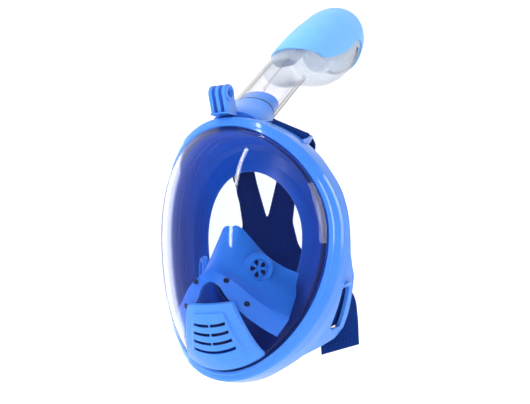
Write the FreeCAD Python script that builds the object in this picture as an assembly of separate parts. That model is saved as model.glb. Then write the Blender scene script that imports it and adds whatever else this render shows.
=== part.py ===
import FreeCAD, Part
import math
import os

# Full face snorkel mask with a dry-top snorkel, in millimetres.
# +X is the wearer's left, +Y points back to the wearer, +Z is up.
# The mask is drawn with Y = 0 at the front of the rim on the centre plane, and each
# piece is moved forward when it is saved, so that the origin is the middle of the
# face seal.

V = FreeCAD.Vector
os.makedirs("parts", exist_ok=True)

# --- driving dimensions -------------------------------------------------------
SEAL_Y = 62.0            # middle of the face seal, behind the front of the rim
WRAP_R = 115.0           # the rim wraps round the face on this radius

EGG_Z = 12.0             # height of the widest line of the egg-shaped lens opening
EGG_HALF_WIDTH = 80.7
EGG_UP = 90.7
EGG_DOWN = 114.4
EGG_POINTS = 56          # points on one interpolated egg curve

DOME_HEIGHT = 31.0       # how far the lens stands in front of the rim
DOME_POWER = 2.2
DOME_ROUNDNESS = 0.62
LENS_THICKNESS = 2.4
GAP = 0.15               # assembly gap between neighbouring pieces

STRAP_WIDTH = 34.0
STRAP_THICKNESS = 2.0
PIN_R = 2.3
PIN_LENGTH = 40.0
EAR_FLARE = 2.5          # how far a pin's ears spread toward their roots

COVER_Z = -72.0          # height of the middle of the chin exhaust cover
COVER_TILT = 16.0        # degrees the cover faces down
COVER_HEIGHT = 6.8       # how far its slotted panel stands in front of the lens
BORDER_HEIGHT = 4.6      # and the border round the panel
COVER_WALL = 1.5
PORT_R = 13.5            # purge port in the lens

CHEEK_VALVE = V(27.0, 9.0, -18.0)
CHEEK_NORMAL = V(0.75, -0.66, 0.0)
CHEEK_HOLE_R = 9.7

SNORKEL_MOUTH = V(0.0, 48.0, 121.0)
SNORKEL_LEAN = 54.5      # degrees the snorkel leans back from upright
SOCKET_DEPTH = 31.0
SOCKET_BORE = (20.5, 13.0)
PLUG_DEPTH = 14.0
PLATE_Z = -20.5          # height of the exhale valve plate in the socket
SOCKET_OVAL = (23.4, 15.6)
TUBE_OVAL = (22.6, 14.8)
TUBE_WALL = 1.8
TUBE_START = 2.4
TUBE_END = 84.0
DIVIDER_X = 7.5
DIVIDER_THICKNESS = 1.5
HOOD_START = 100.0
HOOD_WALL = 1.8
HOUSING_WALL = 1.8

MOUNT_HOLE = V(0.0, -2.5, 131.0)
MOUNT_HOLE_R = 2.5
MOUNT_RING_R = 7.5
PRONG = 3.2
PRONG_GAP = 3.3
MOUNT_LEAN = 18.0

PAD_Y = 75.0
PAD_THICKNESS = 3.0
SIDES = (("left", 1), ("right", -1))


# --- helpers --------------------------------------------------------------------
def save(node, shape):
    """Move a finished piece into the row frame and write it."""
    solids = shape.Solids
    whole = solids[0] if len(solids) == 1 else Part.makeCompound(solids)
    whole = whole.copy()
    whole.translate(V(0, -SEAL_Y, 0))
    if not solids or not whole.isValid():
        raise ValueError(node + " is not a valid solid")
    whole.exportStep("parts/" + node + ".step")
    print(node, len(solids), round(whole.Volume))


def wrap(x):
    """Y of the surface that bends round the face, on which the rim lies."""
    return WRAP_R - math.sqrt(WRAP_R ** 2 - x ** 2)


def egg_radius(x, z):
    """1 on the edge of the lens opening, 0 in its middle."""
    half_height = EGG_UP if z > EGG_Z else EGG_DOWN
    return math.hypot(x / EGG_HALF_WIDTH, (z - EGG_Z) / half_height)


def dome_y(x, z):
    """Y of the outside of the lens, which runs on in a straight slope past its edge."""
    edge = 0.96
    r = egg_radius(x, z)
    inner = min(r, edge)
    body = 1 - inner ** DOME_POWER
    height = body ** DOME_ROUNDNESS
    slope = DOME_ROUNDNESS * DOME_POWER * inner ** (DOME_POWER - 1) * body ** (DOME_ROUNDNESS - 1)
    if r > edge:
        height -= slope * (r - edge)
    return wrap(x) - DOME_HEIGHT * height


def egg(out, back):
    """Closed egg curve, out from the lens edge and back from the wrap surface."""
    points = []
    for i in range(EGG_POINTS):
        a = 2 * math.pi * i / EGG_POINTS
        half_height = EGG_UP if math.sin(a) > 0 else EGG_DOWN
        x = (EGG_HALF_WIDTH + out) * math.cos(a)
        points.append(V(x, wrap(x) + back, EGG_Z + (half_height + out) * math.sin(a)))
    curve = Part.BSplineCurve()
    curve.interpolate(points, PeriodicFlag=True)
    return Part.Wire([curve.toShape()])


def egg_ring(section):
    """A ring round the lens whose cross-section has these (out, back) corners."""
    return Part.makeLoft([egg(out, back) for out, back in section], True, True, True)


def egg_prism(out, y0=-140.0, y1=200.0):
    """Everything inside an egg, straight through from front to back."""
    a = EGG_HALF_WIDTH + out
    middle = V(0, y0, EGG_Z)
    upper = Part.Ellipse(V(0, y0, EGG_Z + EGG_UP + out), V(a, y0, EGG_Z), middle)
    lower = Part.Ellipse(V(0, y0, EGG_Z - EGG_DOWN - out), V(a, y0, EGG_Z), middle)
    quarter = math.pi / 2
    edges = [Part.ArcOfEllipse(e, -quarter, quarter).toShape() for e in (upper, lower)]
    return Part.Face(Part.Wire(edges)).extrude(V(0, y1 - y0, 0))


def behind_wrap(back):
    """Everything behind the wrap surface moved back by this much."""
    axis_y = WRAP_R + back
    tall = 400.0
    drum = Part.makeCylinder(WRAP_R, tall, V(0, axis_y, -tall / 2))
    return drum.fuse(Part.makeBox(2 * WRAP_R, 200, tall, V(-WRAP_R, axis_y, -tall / 2)))


def behind_dome(back):
    """Everything behind the outside of the lens moved back by this much."""
    xs = [-96 + 6 * i for i in range(33)]
    zs = [-120 + 6 * i for i in range(41)]
    surface = Part.BSplineSurface()
    surface.interpolate([[V(x, dome_y(x, z) + back, z) for z in zs] for x in xs])
    return surface.toShape().extrude(V(0, 260, 0))


def side_prism(points, x0, x1):
    """A prism along X whose outline is given as (y, z)."""
    corners = [V(x0, y, z) for y, z in points]
    wire = Part.makePolygon(corners + corners[:1])
    return Part.Face(wire).extrude(V(x1 - x0, 0, 0))


def largest(shape):
    return max(shape.Solids, key=lambda solid: solid.Volume)


def mirrored(shape):
    return shape.mirror(V(0, 0, 0), V(1, 0, 0))


def to_frame(shape, origin, z_axis, x_axis=V(1, 0, 0)):
    """Place a shape drawn about the local origin, its local Z along z_axis."""
    z = V(z_axis).normalize()
    x = (x_axis - z * x_axis.dot(z)).normalize()
    placed = shape.copy()
    there = FreeCAD.Placement(origin, FreeCAD.Rotation(x, z.cross(x), z, "ZXY"))
    placed.Placement = there.multiply(shape.Placement)
    return placed


def disc(r, z0, z1, hole=0.0):
    solid = Part.makeCylinder(r, z1 - z0, V(0, 0, z0))
    if hole:
        solid = solid.cut(Part.makeCylinder(hole, z1 - z0 + 2, V(0, 0, z0 - 1)))
    return solid


def oval_wire(a, b, z, middle=0.0, count=28):
    points = []
    for i in range(count):
        t = 2 * math.pi * i / count
        points.append(V(a * math.cos(t), middle + b * math.sin(t), z))
    curve = Part.BSplineCurve()
    curve.interpolate(points, PeriodicFlag=True)
    return Part.Wire([curve.toShape()])


def oval(a, b, z0, z1, middle=0.0):
    return Part.Face(oval_wire(a, b, z0, middle)).extrude(V(0, 0, z1 - z0))


def oval_tube(outer, inner, z0, z1):
    return oval(outer[0], outer[1], z0, z1).cut(oval(inner[0], inner[1], z0 - 1, z1 + 1))


def rounded_outline(corners, radius, z):
    """Closed outline through (x, y) corners, each rounded with an arc."""
    edges, count = [], len(corners)
    starts, ends, mids = [], [], []
    for i, (x, y) in enumerate(corners):
        here = V(x, y, z)
        to_last = (V(*corners[i - 1], z) - here).normalize()
        to_next = (V(*corners[(i + 1) % count], z) - here).normalize()
        half = to_last.getAngle(to_next) / 2
        reach = radius / math.tan(half)
        bisector = (to_last + to_next).normalize()
        starts.append(here + to_last * reach)
        ends.append(here + to_next * reach)
        mids.append(here + bisector * (radius / math.sin(half) - radius))
    for i in range(count):
        edges.append(Part.Arc(starts[i], mids[i], ends[i]).toShape())
        edges.append(Part.LineSegment(ends[i], starts[(i + 1) % count]).toShape())
    return Part.Wire(edges)


def ribbon(stations):
    """Flat strip through stations of (middle, width vector, thickness vector)."""
    wires = []
    for middle, across, deep in stations:
        w, d = across * 0.5, deep * 0.5
        wires.append(Part.makePolygon([middle - w - d, middle + w - d, middle + w + d,
                                       middle - w + d, middle - w - d]))
    return Part.makeLoft(wires, True, True)


def spline(points):
    curve = Part.BSplineCurve()
    curve.interpolate(points)
    return curve.toShape()


def thick_sheet(rows, thickness):
    """Sheet ruled between rows of points, thickened to the side away from its normal."""
    last = len(rows[0]) - 1
    inner = []
    for j, row in enumerate(rows):
        line = []
        for i, point in enumerate(row):
            along = row[min(i + 1, last)] - row[max(i - 1, 0)]
            up = rows[min(j + 1, len(rows) - 1)][i] - rows[max(j - 1, 0)][i]
            line.append(point - along.cross(up).normalize() * thickness)
        inner.append(line)
    faces = []
    for sheet in (rows, inner):
        edges = [spline(row) for row in sheet]
        faces += [Part.makeRuledSurface(a, b) for a, b in zip(edges, edges[1:])]
    for j in (0, -1):
        faces.append(Part.makeRuledSurface(spline(rows[j]), spline(inner[j])))
    for end in (0, -1):
        for j in range(len(rows) - 1):
            front = Part.LineSegment(rows[j][end], rows[j + 1][end]).toShape()
            back = Part.LineSegment(inner[j][end], inner[j + 1][end]).toShape()
            faces.append(Part.makeRuledSurface(front, back))
    shell = Part.makeShell(faces)
    shell.sewShape()
    solid = Part.makeSolid(shell)
    if solid.Volume < 0:
        solid.reverse()
    return solid


# --- frame: front bezel and rear frame --------------------------------------------
def front_bezel():
    return egg_ring([(0.3, 3.2), (0.3, -0.4), (1.0, -1.2), (3.2, -1.2), (4.0, -0.3), (5.6, 0.0),
                     (7.5, 0.7), (8.8, 2.1), (9.3, 4.2), (9.9, 9.0), (5.4, 9.0), (5.4, 3.2)])


# side view of the frame's rear edge as (y, z): shallow beside the eyes, deep at the crown
# and chin, and reaching furthest back at the lower strap lugs
REAR_EDGE = ((22, 118), (27, 106), (37, 92), (43, 78), (46, 64), (52, 48), (54, 30), (55, 8),
             (56, -6), (61, -16), (66.5, -24), (69, -40), (72, -56), (73.5, -68), (68, -77),
             (54, -84), (38, -91), (28, -102), (24, -112), (22, -124))
SLOT = ((50.5, -35), (62, -33.5), (67, -67), (52.5, -69))
LOWER_PIN = (V(78.7, 57.0, -31.0), V(61.8, 61.0, -70.0))
UPPER_PIN = (V(27.5, 32.0, 108.5), V(60.0, 45.0, 92.0))


def frame_wall():
    wall = egg_ring([(1.9, 9.2), (9.9, 9.2), (10.4, 13), (10.9, 24), (12.4, 38), (14.4, 60),
                     (10.8, 60), (8.8, 38), (7.3, 24), (6.8, 14), (1.9, 12.4)])
    front = [(-30, -140), (-30, 140), (REAR_EDGE[0][0], 140)] + list(REAR_EDGE)
    front += [(REAR_EDGE[-1][0], -140)]
    return wall.common(side_prism(front, -120, 120))


def strap_pin(ends, grow=0.0):
    start, end = ends
    along = (end - start).normalize()
    middle = (start + end) * 0.5
    return Part.makeCylinder(PIN_R + grow, PIN_LENGTH + 2 * grow,
                             middle - along * (PIN_LENGTH / 2 + grow), along)


def pin_ears(ends, toward_wall, root_length):
    """The two ears that hold a strap pin: square to it at the pin, then running to the wall."""
    start, end = ends
    along = (end - start).normalize()
    square = (toward_wall - along * toward_wall.dot(along)).normalize()
    across = along * 2.0
    deep = along.cross(square) * 6.4
    ears = []
    for place in (-PIN_LENGTH / 2 + 1.0, PIN_LENGTH / 2 - 1.0):
        middle = (start + end) * 0.5 + along * place
        root = middle + toward_wall * root_length + along * math.copysign(EAR_FLARE, place)
        ears.append(ribbon([(middle - square * 3.2, across, deep), (middle + square * 3.5, across, deep),
                            (root, across, deep)]))
    return ears


def rear_frame():
    slot = side_prism(SLOT, 40, 120)
    frame = frame_wall().cut([slot, mirrored(slot)])
    lower = pin_ears(LOWER_PIN, V(0.97, -0.1, 0.05), 11.0)
    upper = pin_ears(UPPER_PIN, V(-0.18, -0.95, -0.25), 16.0)
    for ear in lower + upper:
        frame = frame.fuse([ear, mirrored(ear)])
    frame = frame.cut(egg_prism(1.9).common(behind_wrap(-40)))
    for pin in (LOWER_PIN, UPPER_PIN):
        hole = strap_pin(pin, 0.05)
        frame = frame.cut([hole, mirrored(hole)])
    return frame


def strap_pins():
    pins = [strap_pin(LOWER_PIN), strap_pin(UPPER_PIN)]
    return Part.makeCompound(pins + [mirrored(pin) for pin in pins])


# --- viewing lens ---------------------------------------------------------------------
def port_frame(shape):
    """Local frame of the purge port: origin on the lens, Z straight out of it."""
    tilt = math.radians(COVER_TILT)
    return to_frame(shape, V(0, dome_y(0, COVER_Z), COVER_Z), V(0, -math.cos(tilt), -math.sin(tilt)))


def viewing_lens():
    block = egg_prism(-0.1).common(behind_dome(0))
    block = block.fuse(egg_prism(4.9).common(behind_wrap(3.4))).cut(behind_wrap(5.3))
    hollow = egg_prism(-0.1 - LENS_THICKNESS).common(behind_dome(LENS_THICKNESS))
    return block.cut([hollow, port_frame(disc(PORT_R, -20, 20))])


# --- silicone skirt and nose pocket -----------------------------------------------------
def face_skirt():
    skirt = egg_ring([(-1.7, 5.5), (4.8, 5.5), (4.8, 8.9), (1.4, 8.9), (1.2, 20), (-3, 35),
                      (-8, 43), (-14, 45.6), (-24, 45), (-34, 42.6), (-34, 40.8), (-24, 43),
                      (-14.6, 43.3), (-9.8, 41.2), (-5.4, 34), (-1.3, 19)])
    return skirt.cut(snorkel_frame(oval(14.0, 9.0, -60, -24)))


# corners of the nose pocket on the wearer's left: each line runs from the arch on the
# lens, over the crease above it and the cheek, up to the rim that meets the face
POCKET = (((0, -26.0, -29), (0, -24.6, -21), (0, -16, -12), (0, -3, 3), (0, 11, 19.5)),
          ((8, -24.8, -33), (11, -23.4, -24), (10, -14, -18), (10, -3, -4), (8, 12, 18)),
          ((14, -22.0, -43), (23, -20.0, -32), (20, -8, -27), (18, 3, -11), (15.5, 18, 8)),
          ((24, -16.6, -55), (35, -13.0, -44), (31, 3, -33), (27.5, 9.6, -18), (25, 26, -6)),
          ((36, -6.4, -67), (46, -3.0, -54), (42, 16, -37), (38, 24, -27), (37, 34, -16)),
          ((45, 4.6, -75), (54, 8.6, -62), (52, 27, -42), (49, 34, -32), (49, 40, -22)))


PEGS = ((14.5, -28.5), (29.0, -48.0))     # places of the pegs as (x, z)


def inner_mask():
    half = [[V(*point) for point in line] for line in POCKET]
    lines = [[V(-p.x, p.y, p.z) for p in line] for line in reversed(half[1:])] + half
    pocket = thick_sheet([list(row) for row in zip(*lines)], 2.0)
    for _, side in SIDES:
        pocket = pocket.fuse(cheek_frame(disc(12.6, -3.0, 0.3), side))
    for _, side in SIDES:
        pocket = pocket.cut([cheek_frame(disc(CHEEK_HOLE_R, -12, 12), side),
                             cheek_frame(disc(12.4, 0.35, 8), side)])
        for x, z in PEGS:
            pocket = pocket.cut(peg(x, z, side, 0.15))
    pocket = pocket.common(behind_dome(LENS_THICKNESS + GAP))
    return pocket.cut(port_frame(disc(PORT_R + 3, -40, 20)))


def peg(x, z, side, grow=0.0):
    """Peg on the inside of the lens, with room round it when grown."""
    foot = V(side * x, dome_y(x, z) + LENS_THICKNESS + 0.1 - grow, z)
    return Part.makeCylinder(2.1 + grow, 5.5 + 2 * grow, foot, V(0, 1, 0))


def inner_mask_pegs():
    """Four pegs that button the arch of the pocket to the inside of the lens."""
    inside = behind_dome(LENS_THICKNESS + 0.1)
    return Part.makeCompound([peg(x, z, side).common(inside) for x, z in PEGS for _, side in SIDES])


# --- cheek inhale valves -----------------------------------------------------------------
def cheek_frame(shape, side):
    origin = V(side * CHEEK_VALVE.x, CHEEK_VALVE.y, CHEEK_VALVE.z)
    return to_frame(shape, origin, V(side * CHEEK_NORMAL.x, CHEEK_NORMAL.y, 0), V(0, 0, 1))


def spoked_disc(r, z0, z1, openings, hub):
    """Valve grille: a disc with a ring of teardrop openings between its spokes."""
    plate = disc(r, z0, z1)
    reach = r - hub
    for i in range(openings):
        a = 2 * math.pi * (i + 0.25) / openings
        out = V(math.cos(a), math.sin(a), 0)
        big = Part.makeCylinder(reach * 0.30, 10, out * (hub + reach * 0.58) + V(0, 0, z0 - 5))
        small = Part.makeCylinder(reach * 0.14, 10, out * (hub + reach * 0.24) + V(0, 0, z0 - 5))
        plate = plate.cut([big, small])
    return plate


def inhale_valve_seat(side):
    barrel = disc(CHEEK_HOLE_R - GAP, -4.0, 1.0, 8.2)
    flange = disc(11.6, 0.45, 1.7, 8.2)
    grille = spoked_disc(8.4, -2.0, -0.4, 5, 1.6)
    stem = disc(1.1, -7.6, 0.4).fuse(disc(1.9, -7.6, -6.8))
    return cheek_frame(barrel.fuse([flange, grille, stem]), side)


def inhale_diaphragm(side):
    return cheek_frame(disc(9.3, -4.9, -4.1, 1.3), side)


# --- chin purge valve and its cover ----------------------------------------------------------
def purge_valve_seat():
    barrel = disc(PORT_R - GAP, -4.5, 0.7, 11.0)
    flange = disc(14.9, 0.15, 1.1, 11.0)
    grille = spoked_disc(11.2, -1.0, 0.3, 6, 2.2)
    stem = disc(1.2, -1.0, 3.8).fuse(disc(2.0, 3.1, 3.8))
    return port_frame(barrel.fuse([flange, grille, stem]))


def purge_diaphragm():
    return port_frame(disc(13.0, 1.25, 2.1, 1.4))


# half outlines of the cover as (x, y) in the port's frame, at the panel's height and below
# the lens
# half outlines at the foot and the crest as (depth, corners), for the border and the raised panel
BORDER = ((-20.0, ((22.8, 28), (36.6, -20.5), (34.5, -26), (20, -32.5), (0, -34))),
          (6.0, ((20.2, 25.6), (33.4, -19.5), (31.5, -23.8), (18, -30), (0, -31.3))))
PANEL = ((-10.0, ((17.5, 21.8), (26.5, -19), (0, -28))), (6.0, ((14.0, 18.6), (22.5, -15.5), (0, -24))))
SLOT_TOP, SLOT_PITCH, SLOT_HEIGHT = 10.5, 7.6, 2.5
SLOT_HALF, SLOT_GROWTH, SLOT_BEND = 14.8, 1.6, 62.0


def cover_block(outlines, inset, proud):
    """Block with the cover's sloping sides, drawn in from its outline, standing proud of the lens."""
    wires = []
    for z, half in outlines:
        corners = list(half) + [(-x, y) for x, y in half[:-1]][::-1]
        moved = [(x - math.copysign(inset, x) if x else 0, y - math.copysign(inset, y)) for x, y in corners]
        wires.append(rounded_outline(moved, 3.0, z))
    return port_frame(Part.makeLoft(wires, True, True)).common(behind_dome(-proud))


def cover_form(inset, wall):
    """The border and the raised panel as one solid; the panel stands further out."""
    border = cover_block(BORDER, inset, BORDER_HEIGHT - wall)
    return border.fuse(cover_block(PANEL, inset, COVER_HEIGHT - wall))


def cover_slot(row):
    """One slot of the panel, a smile-shaped arc, with a rib across all but the lowest."""
    height = SLOT_TOP - SLOT_PITCH * row
    half = SLOT_HALF + SLOT_GROWTH * row
    bow = disc(SLOT_BEND + SLOT_HEIGHT / 2, -12, 20, SLOT_BEND - SLOT_HEIGHT / 2)
    bow.translate(V(0, height + SLOT_BEND - 2, 0))
    slot = bow.common(Part.makeBox(2 * half, 12, 40, V(-half, height - 5, -15)))
    if row < 3:
        slot = slot.cut(Part.makeBox(1.4, 30, 40, V(-0.7, height - 10, -15)))
    return slot


def exhaust_cover():
    slots = [port_frame(cover_slot(row)) for row in range(4)]
    cover = cover_form(0.0, 0.0).cut([cover_form(2.3, COVER_WALL)] + slots).cut(behind_dome(-GAP))
    return largest(cover.common(egg_prism(-0.8)))


# --- camera mount -----------------------------------------------------------------------------
def camera_mount():
    pitch = PRONG + PRONG_GAP
    lean = math.radians(MOUNT_LEAN)
    down = V(0, math.sin(lean), -math.cos(lean))
    pieces = []
    for i in (-1, 0, 1):
        x0 = i * pitch - PRONG / 2
        head = Part.makeCylinder(MOUNT_RING_R, PRONG, V(x0, MOUNT_HOLE.y, MOUNT_HOLE.z), V(1, 0, 0))
        neck = ribbon([(V(x0 + PRONG / 2, MOUNT_HOLE.y, MOUNT_HOLE.z) + down * reach,
                        V(PRONG, 0, 0), V(0, math.cos(lean), math.sin(lean)) * width)
                       for reach, width in ((0, 2 * MOUNT_RING_R), (26, 15.5))])
        pieces += [head, neck]
    foot_width = 2 * pitch + PRONG
    foot = ribbon([(MOUNT_HOLE + down * reach, V(foot_width + grow, 0, 0), V(0, 19 + grow, 0))
                   for reach, grow in ((17.5, 0.0), (28.0, 4.0))])
    mount = pieces[0].fuse(pieces[1:] + [foot])
    side = MOUNT_HOLE + V(pitch + PRONG / 2, 0, 0)
    boss = Part.makeCylinder(MOUNT_RING_R - 0.6, 1.0, side, V(1, 0, 0))
    hole = Part.makeCylinder(MOUNT_HOLE_R, 60, MOUNT_HOLE - V(30, 0, 0), V(1, 0, 0))
    nut = Part.makeCylinder(4.4, 3.0, side - V(0.4, 0, 0), V(1, 0, 0))
    mount = mount.fuse(boss).cut([hole, nut])
    return mount.cut(egg_prism(10.5))


# --- snorkel socket on the crown -----------------------------------------------------------------
def snorkel_frame(shape):
    """Local frame of the snorkel: Z up its tube, Y towards its rear, origin at the socket's mouth."""
    lean = math.radians(SNORKEL_LEAN)
    return to_frame(shape, SNORKEL_MOUTH, V(0, math.sin(lean), math.cos(lean)))


def dividers(a, b, z0, z1):
    """Two walls that split an oval passage into one middle and two side channels."""
    walls = []
    for x in (-DIVIDER_X, DIVIDER_X):
        walls.append(Part.makeBox(DIVIDER_THICKNESS, 2 * b, z1 - z0, V(x - DIVIDER_THICKNESS / 2, -b, z0)))
    inside = oval(a, b, z0, z1)
    return [wall.common(inside) for wall in walls]


def snorkel_socket():
    a, b = SOCKET_BORE
    rim_a, rim_b = SOCKET_OVAL
    outer = Part.makeLoft([oval_wire(rim_a + 2.5, rim_b + 3, -SOCKET_DEPTH, 0.5),
                           oval_wire(rim_a + 1, rim_b + 1, -12, 0.2),
                           oval_wire(rim_a, rim_b, -3), oval_wire(rim_a, rim_b, 0)], True, False)
    socket = outer.cut(oval(a, b, -SOCKET_DEPTH - 1, 1))
    socket = socket.fuse(dividers(a + 0.5, b + 0.5, -SOCKET_DEPTH, PLATE_Z - 0.2))
    shelf = oval_tube((a + 0.5, b + 0.5), (a - 1.4, b - 1.4), PLATE_Z - 2.7, PLATE_Z - 0.1)
    socket = snorkel_frame(socket.fuse(shelf))
    skirt_space = egg_prism(5.2).common(behind_wrap(-30))
    return largest(socket.cut([skirt_space, rear_frame()]))


def exhale_valve_plate():
    """Plate in the socket with a window over each channel and a sill for each flap."""
    a, b = SOCKET_BORE
    plate = oval(a - GAP, b - GAP, PLATE_Z, PLATE_Z + 1.5)
    plate = plate.cut(Part.makeBox(9, 15, 10, V(-4.5, -7.5, PLATE_Z - 4)))
    for x in (-12.6, 12.6):
        plate = plate.cut(Part.makeBox(5.0, 9.0, 10, V(x - 2.5, -4.5, PLATE_Z - 4)))
    return snorkel_frame(plate)


def exhale_flap(side):
    return snorkel_frame(Part.makeBox(7.4, 12.0, 0.9, V(side * 12.6 - 3.7, -6.0, PLATE_Z + 1.65)))


# --- snorkel: plug, seal ring, tube ------------------------------------------------------------------
def snorkel_plug():
    a, b = TUBE_OVAL[0] - TUBE_WALL - GAP, TUBE_OVAL[1] - TUBE_WALL - GAP
    plug = oval(SOCKET_BORE[0] - 0.25, SOCKET_BORE[1] - 0.25, -PLUG_DEPTH, 0.1).fuse(oval(a, b, 0, 18))
    plug = plug.cut(oval(a - 2.0, b - 2.0, -20, 30))
    return snorkel_frame(plug.fuse(dividers(a - 1.6, b - 1.6, -PLUG_DEPTH, 18)))


def snorkel_seal_ring():
    bore = (TUBE_OVAL[0] - TUBE_WALL - 0.05, TUBE_OVAL[1] - TUBE_WALL - 0.05)
    return snorkel_frame(oval_tube((TUBE_OVAL[0] + 0.3, TUBE_OVAL[1] + 0.3), bore, 0.25, 2.2))


def snorkel_tube():
    a, b = TUBE_OVAL
    inner = (a - TUBE_WALL, b - TUBE_WALL)
    tube = oval_tube(TUBE_OVAL, inner, TUBE_START, TUBE_END)
    return snorkel_frame(tube.fuse(dividers(inner[0] + 0.4, inner[1] + 0.4, 18.2, TUBE_END)))


# --- snorkel head: float housing, hood, float ----------------------------------------------------------
# sections up the head as (height, how far the middle sits back, half width, half depth)
HEAD = ((84.3, 0.5, 22.8, 15.2), (98, 3, 24, 18.6), (115, 6.5, 25.5, 23), (140, 13, 27.5, 29.5),
        (165, 18, 28.5, 33), (190, 20.5, 29, 32.6), (211, 21, 27, 29), (226, 20.5, 22, 22.5),
        (236, 19.5, 13.5, 14))
# side view of the hood's lower edge, as (back, height)
HOOD_EDGE = ((-21, HOOD_START), (-16.3, 101), (-11.8, 105), (-4.5, 112), (3.3, 118), (8, 126.5),
             (11.2, 136), (15.2, 148), (18.1, 161), (19.2, 175), (19.6, 187), (22.5, 197), (29, 202.5),
             (37, 200), (50, 197), (70, 196.5))
HOUSING_TOP = 205.0
FLOAT_MIDDLE = 19.0      # how far back the float's rod stands
FLOAT_FLOOR = 150.0
FLOAT_LENGTH = 30.0
SEAT_Z = 192.0


def head_loft(grow, z0, z1):
    wires = [oval_wire(a + grow, b + grow, z, middle) for z, middle, a, b in HEAD]
    top_z, top_middle, top_a, top_b = HEAD[-1]
    if grow > -3:
        wires.append(oval_wire(top_a * 0.45 + grow, top_b * 0.45 + grow, top_z + 2.4 + grow, top_middle))
    whole = Part.makeLoft(wires, True, False)
    return whole.common(Part.makeBox(200, 200, z1 - z0, V(-100, -100, z0)))


def hood_side():
    """The part of space in front of and above the hood's lower edge."""
    corners = [(-80, 280), (-80, HOOD_START)] + list(HOOD_EDGE) + [(70, 280)]
    return side_prism(corners, -60, 60)


def float_housing():
    z0 = HEAD[0][0]
    shell = head_loft(0.0, z0, HOUSING_TOP).cut(head_loft(-HOUSING_WALL, z0 - 5, HOUSING_TOP + 1))
    floor = head_loft(-0.6, FLOAT_FLOOR - 2, FLOAT_FLOOR)
    floor = floor.cut(vents(FLOAT_FLOOR - 5, 18.0, 3.2) + vents(FLOAT_FLOOR - 5, 9.0, 3.0))
    return snorkel_frame(shell.fuse(floor))


def vents(z, reach, r):
    """Drills for four holes spaced round the float's rod."""
    spots = [math.pi / 4 + math.pi / 2 * i for i in range(4)]
    return [Part.makeCylinder(r, 12, V(reach * math.cos(a), FLOAT_MIDDLE + reach * math.sin(a), z))
            for a in spots]


def snorkel_cap():
    outer = head_loft(GAP + HOOD_WALL, HOOD_START, 280)
    inner = head_loft(GAP, HOOD_START - 1, 280)
    return snorkel_frame(outer.cut(inner).common(hood_side()))


def on_rod(shape):
    """Stand a piece drawn about the local Z axis on the float's rod."""
    return snorkel_frame(shape.translated(V(0, FLOAT_MIDDLE, 0)))


def float_valve_seat():
    """Plate above the float with the air opening, and the rod that guides the float."""
    plate = head_loft(-HOUSING_WALL - GAP, SEAT_Z, SEAT_Z + 2)
    plate = plate.cut(disc(9.0, SEAT_Z - 5, SEAT_Z + 5).translated(V(0, FLOAT_MIDDLE, 0)))
    cross = Part.makeBox(19, 2.4, 2.0, V(-9.5, FLOAT_MIDDLE - 1.2, SEAT_Z))
    rod_start = FLOAT_FLOOR + 0.3
    rod = Part.makeCylinder(1.6, SEAT_Z + 1 - rod_start, V(0, FLOAT_MIDDLE, rod_start))
    return snorkel_frame(plate.fuse([cross, rod]))


def float_block():
    z = FLOAT_FLOOR + 0.3
    body = Part.makeLoft([oval_wire(11, 12, z), oval_wire(15, 16.5, z + 6), oval_wire(15.5, 17, z + 20),
                          oval_wire(12, 13, z + FLOAT_LENGTH)], True, False)
    return on_rod(body.cut(disc(1.85, z - 5, z + FLOAT_LENGTH + 5)))


def float_seal():
    z = FLOAT_FLOOR + FLOAT_LENGTH + 0.4
    return on_rod(disc(11.8, z, z + 2.4, 1.85))


# --- head harness ----------------------------------------------------------------------------------------
# half outline of the back pad as (x, z), from the notch at the top round to the bottom
PAD_HALF = ((0, 28), (10, 62), (15, 84), (37, 78), (28, 46), (25, 26), (30, 6), (50, -22), (36, -42),
            (10, -14), (0, -6))


def harness_back_pad():
    outline = [V(x, PAD_Y, z) for x, z in PAD_HALF]
    outline += [V(-x, PAD_Y, z) for x, z in PAD_HALF[-2:0:-1]]
    return Part.Face(Part.makePolygon(outline + outline[:1])).extrude(V(0, PAD_THICKNESS, 0))


def loop_round(ends, first, sweep, count):
    """Strap stations round a pin, from the direction `first`, turning by `sweep` degrees."""
    start, end = ends
    along = (end - start).normalize()
    r = PIN_R + 0.3 + STRAP_THICKNESS / 2
    out = (first - along * first.dot(along)).normalize()
    stations = []
    for i in range(count + 1):
        turn = FreeCAD.Rotation(along, sweep * i / count)
        spoke = turn.multVec(out)
        stations.append(((start + end) * 0.5 + spoke * r, along * STRAP_WIDTH, spoke * STRAP_THICKNESS))
    return stations


def station(x, y, z, across, deep):
    w, d = V(*across).normalize(), V(*deep).normalize()
    d = (d - w * d.dot(w)).normalize()
    return V(x, y, z), w * STRAP_WIDTH, d * STRAP_THICKNESS


def lower_strap():
    """From the pad to the lower lug, round its pin and out to the hanging tail."""
    loop = loop_round(LOWER_PIN, V(-1, 0, -0.3), -180, 8)
    lead = [station(43.6, PAD_Y + 1.5, -32.6, (0.58, 0, 0.82), (0, 1, 0)),
            station(56, 76, -40, (0.5, 0.05, 0.87), (0.1, 1, 0)),
            station(67, 71, -46, (0.4, 0, 0.92), (0.6, 0.8, 0))]
    tail = [station(74.4, 69.5, -50, (0.40, -0.1, 0.91), (-0.9, 0.1, 0.4)),
            station(72.5, 77, -56, (0.55, 0.15, 0.82), (-0.8, 0.4, 0.4)),
            station(68, 80.5, -66, (0.75, 0.4, 0.52), (-0.55, 0.8, 0.2)),
            station(66, 81.5, -76, (0.84, 0.48, 0.25), (-0.5, 0.86, 0)),
            station(66, 82, -87, (0.84, 0.48, 0.25), (-0.5, 0.86, 0))]
    return ribbon(lead + loop + tail)


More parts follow.
